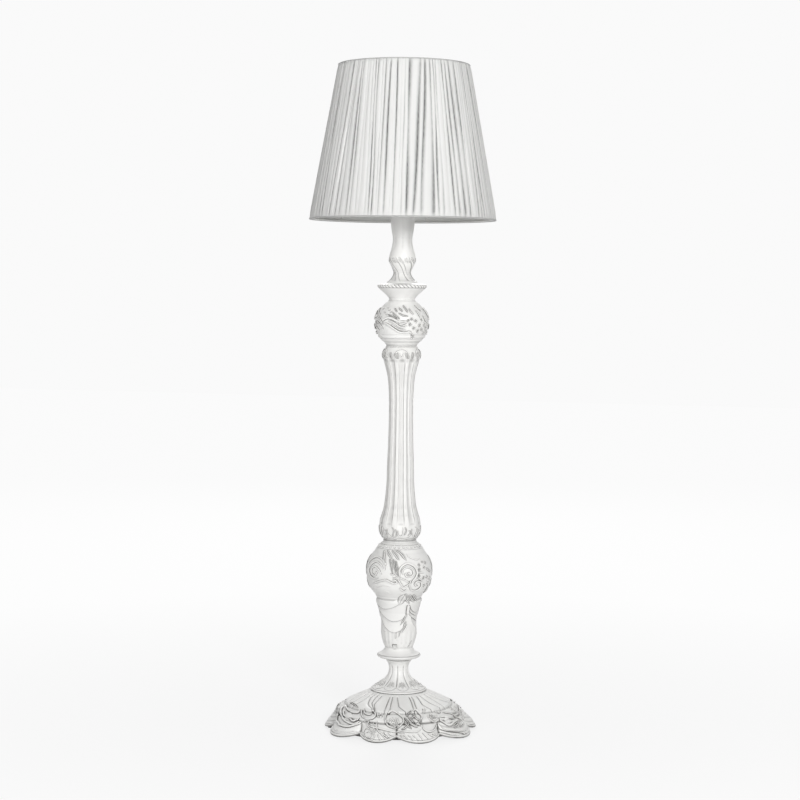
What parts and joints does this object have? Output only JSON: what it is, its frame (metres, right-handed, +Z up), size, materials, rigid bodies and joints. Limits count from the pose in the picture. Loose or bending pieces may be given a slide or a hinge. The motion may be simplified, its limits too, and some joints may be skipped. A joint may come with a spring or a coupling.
{
  "type": "candlestick floor lamp",
  "caption": "Floor lamp with a petal-edged base, a carved vase and fluted candlestick column, a push-button switch and a gathered cloth shade.",
  "frame": {"origin": "middle of the base on the floor", "axes": "+Z up, -Y the front, where the switch is, +X to the right seen from the front"},
  "size_m": [0.4638, 0.4638, 1.65],
  "materials": {
    "resin": "cast resin, ivory-white satin paint, grey in the recesses",
    "cover_board": "matt black board",
    "zinc_steel": "zinc plated",
    "pad_rubber": "soft matt",
    "iron": "raw casting",
    "grommet_rubber": "soft matt, pale",
    "block_plastic": "moulded",
    "enamel": "satin enamel",
    "brass": "plain",
    "switch_plastic": "moulded, glossy",
    "lead_blue": "extruded insulation",
    "lead_brown": "extruded insulation",
    "holder_plastic": "moulded, glossy",
    "porcelain": "fired, unglazed",
    "wire_enamel": "dip coated",
    "lining_cloth": "laminated lining",
    "shade_cloth": "gathered silky cloth",
    "solder": "tinned",
    "vitrite": "black glass",
    "cap_metal": "plain",
    "bulb_glass": "frosted"
  },
  "bodies": {
    "stand": {"base_bell": "resin", "base_cover": "cover_board", "cover_screws": "zinc_steel", "foot_pads": "pad_rubber", "ballast_weight": "iron", "cord_grommet": "grommet_rubber", "terminal_block": "block_plastic", "spool_neck": "resin", "ring_collar": "resin", "lower_vase": "resin", "fluted_column": "resin", "leaf_knop": "resin", "drip_pan": "resin", "candle_stem": "resin", "stem_cap": "enamel", "centre_tube": "zinc_steel", "tube_washers": "zinc_steel", "tube_nuts": "brass", "switch_frame": "switch_plastic", "switch_body": "switch_plastic", "neutral_lead": "lead_blue", "feed_lead": "lead_brown", "switched_lead": "lead_brown", "holder_cap": "holder_plastic", "holder_body": "holder_plastic", "holder_insert": "porcelain", "screw_shell": "brass", "centre_contact": "brass"},
    "button": {"switch_button": "switch_plastic"},
    "shade": {"shade_fitter": "wire_enamel", "top_ring": "wire_enamel", "bottom_ring": "wire_enamel", "shade_ribs": "wire_enamel", "shade_lining": "lining_cloth", "shade_cover": "shade_cloth"},
    "clamp": {"shade_clamp": "holder_plastic"},
    "bulb": {"bulb_contact": "solder", "bulb_insulator": "vitrite", "bulb_cap": "cap_metal", "bulb_glass": "bulb_glass"}
  },
  "joints": [
    {"name": "button_press", "type": "slide", "parent": "stand", "child": "button", "axis": [0, 1, 0], "range_m": [0, 0.0022], "stiffness_N_per_m": 350},
    {"name": "shade_swivel", "type": "hinge", "parent": "stand", "child": "shade", "pos_m": [0, 0, 1.367], "axis": [0, 0, 1], "continuous": true},
    {"name": "clamp_turn", "type": "hinge", "parent": "stand", "child": "clamp", "pos_m": [0, 0, 1.369], "axis": [0, 0, 1], "range_deg": [0, 1080]},
    {"name": "bulb_turn", "type": "hinge", "parent": "stand", "child": "bulb", "pos_m": [0, 0, 1.375], "axis": [0, 0, 1], "range_deg": [0, 1080]}
  ]
}
